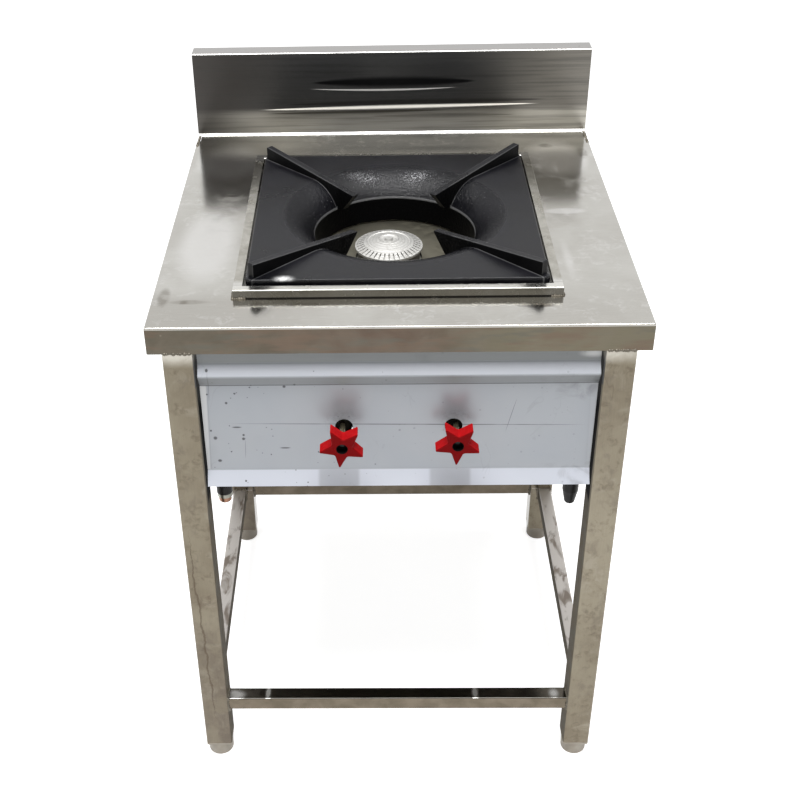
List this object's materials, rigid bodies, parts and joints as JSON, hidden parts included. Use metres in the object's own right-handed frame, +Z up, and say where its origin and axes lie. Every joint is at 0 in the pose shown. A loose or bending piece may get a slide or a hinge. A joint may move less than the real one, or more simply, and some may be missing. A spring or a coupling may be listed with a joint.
{
  "type": "single burner range",
  "caption": "Free-standing gas range on square tube legs with a folded steel top, splash back, dished cast pan support, gas burner and star knobs on long spindles.",
  "frame": {"origin": "on the floor, under the middle of the outline from the knob fronts to the back of the splash return", "axes": "+Z up, +X to the right seen from the front, -Y towards the cook"},
  "size_m": [0.61, 0.6704, 0.8845],
  "materials": {
    "top_steel": "semi polished brushed sheet with smudges",
    "rim_steel": "sawn bright bar, welded at the corners",
    "leg_steel": "brushed square tube, warm grey, weld marks at its ends",
    "foot_nylon": "moulded cream nylon",
    "cast_black": "black satin coat over a grainy casting",
    "burner_iron": "bare grey casting",
    "cap_metal": "bright turned casting with dark slots",
    "panel_film": "steel sheet still in its bluish protective film",
    "tray_steel": "dull olive grey sheet",
    "plated_steel": "zinc plated",
    "pipe_black": "black painted pipe",
    "tube_copper": "dull copper",
    "valve_brass": "turned brass",
    "knob_red": "moulded red plastic"
  },
  "bodies": {
    "frame": {"top_sheet": "top_steel", "rim_frame": "rim_steel", "leg_front_left": "leg_steel", "leg_front_right": "leg_steel", "leg_back_left": "leg_steel", "leg_back_right": "leg_steel", "brace_front": "leg_steel", "brace_back": "leg_steel", "brace_left": "leg_steel", "brace_right": "leg_steel", "rail_front": "leg_steel", "rail_back": "leg_steel", "rail_left": "leg_steel", "rail_right": "leg_steel", "foot_front_left": "foot_nylon", "foot_front_right": "foot_nylon", "foot_back_left": "foot_nylon", "foot_back_right": "foot_nylon", "burner_body": "burner_iron", "front_panel": "panel_film", "back_panel": "panel_film", "side_panel_left": "panel_film", "side_panel_right": "panel_film", "spill_tray": "tray_steel", "bearer_left": "plated_steel", "bearer_right": "plated_steel", "burner_bracket": "plated_steel", "manifold_hanger_left": "plated_steel", "manifold_hanger_right": "plated_steel", "inlet_collar": "plated_steel", "panel_screws": "plated_steel", "bearer_screws": "plated_steel", "bracket_bolts": "plated_steel", "hanger_bolts": "plated_steel", "manifold_pipe": "pipe_black", "elbow_left": "pipe_black", "elbow_right": "pipe_black", "drop_pipe_left": "pipe_black", "drop_pipe_right": "pipe_black", "pipe_plug": "pipe_black", "inlet_nipple": "tube_copper", "main_gas_tube": "tube_copper", "pilot_tube": "tube_copper", "main_valve": "valve_brass", "pilot_valve": "valve_brass", "main_gland_nut": "valve_brass", "pilot_gland_nut": "valve_brass", "main_union_nut": "valve_brass", "pilot_union_nut": "valve_brass", "jet": "valve_brass", "pilot_tip": "valve_brass"},
    "pan_support": {"pan_support": "cast_black"},
    "burner_cap": {"burner_cap": "cap_metal"},
    "main_knob": {"main_knob": "knob_red", "main_spindle": "valve_brass"},
    "pilot_knob": {"pilot_knob": "knob_red", "pilot_spindle": "valve_brass"},
    "air_shutter": {"air_shutter": "plated_steel"}
  },
  "joints": [
    {"name": "pan_support_lift", "type": "slide", "parent": "frame", "child": "pan_support", "axis": [0, 0, 1], "range_m": [0, 0.15]},
    {"name": "burner_cap_lift", "type": "slide", "parent": "frame", "child": "burner_cap", "axis": [0, 0, 1], "range_m": [0, 0.1]},
    {"name": "main_knob_turn", "type": "hinge", "parent": "frame", "child": "main_knob", "pos_m": [-0.07, -0.33515, 0.601], "axis": [0, -1, 0], "range_deg": [0, 540]},
    {"name": "pilot_knob_turn", "type": "hinge", "parent": "frame", "child": "pilot_knob", "pos_m": [0.073, -0.33115, 0.601], "axis": [0, -1, 0], "range_deg": [0, 540]},
    {"name": "air_shutter_turn", "type": "hinge", "parent": "frame", "child": "air_shutter", "pos_m": [-0.008, -0.15815, 0.645], "axis": [0, 1, 0], "range_deg": [-180, 180]}
  ]
}
